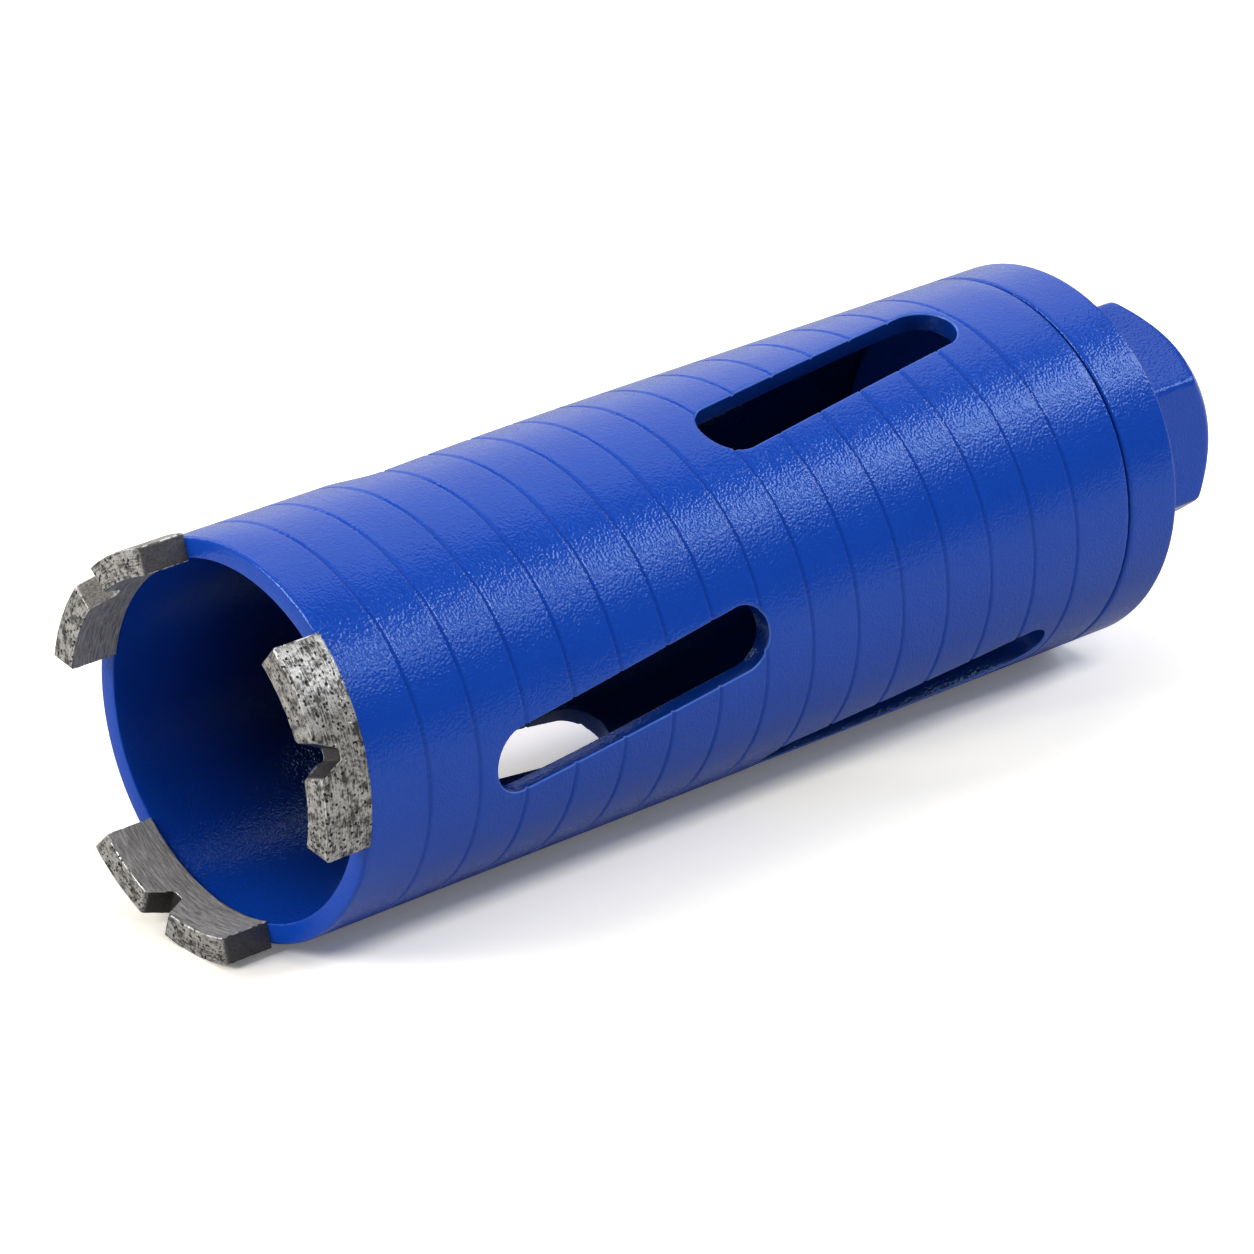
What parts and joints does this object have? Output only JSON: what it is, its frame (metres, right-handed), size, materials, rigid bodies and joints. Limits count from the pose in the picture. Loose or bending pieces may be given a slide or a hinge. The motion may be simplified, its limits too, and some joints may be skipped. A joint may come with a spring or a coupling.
{
  "type": "diamond core bit",
  "caption": "Dry diamond core bit: slotted steel tube with a spiral relief groove, sintered toothed segments on its rim, and a female threaded hexagon hub.",
  "frame": {"origin": "centre of the thread's mouth, in the end face of the hexagon hub that the bit stands on", "axes": "+Z along the bit's axis, from the hub's mouth to the cutting end; the bit lies on its +Y side in the picture"},
  "size_m": [0.0516, 0.0515, 0.165],
  "materials": {
    "painted_tube": "satin powder coat",
    "painted_cap": "satin powder coat",
    "painted_hub": "satin powder coat",
    "sintered_segment": "sintered, ground"
  },
  "bodies": {
    "root": {"barrel_tube": "painted_tube", "end_cap": "painted_cap", "hex_hub": "painted_hub", "cutting_segment_1": "sintered_segment", "cutting_segment_2": "sintered_segment", "cutting_segment_3": "sintered_segment"}
  },
  "joints": []
}
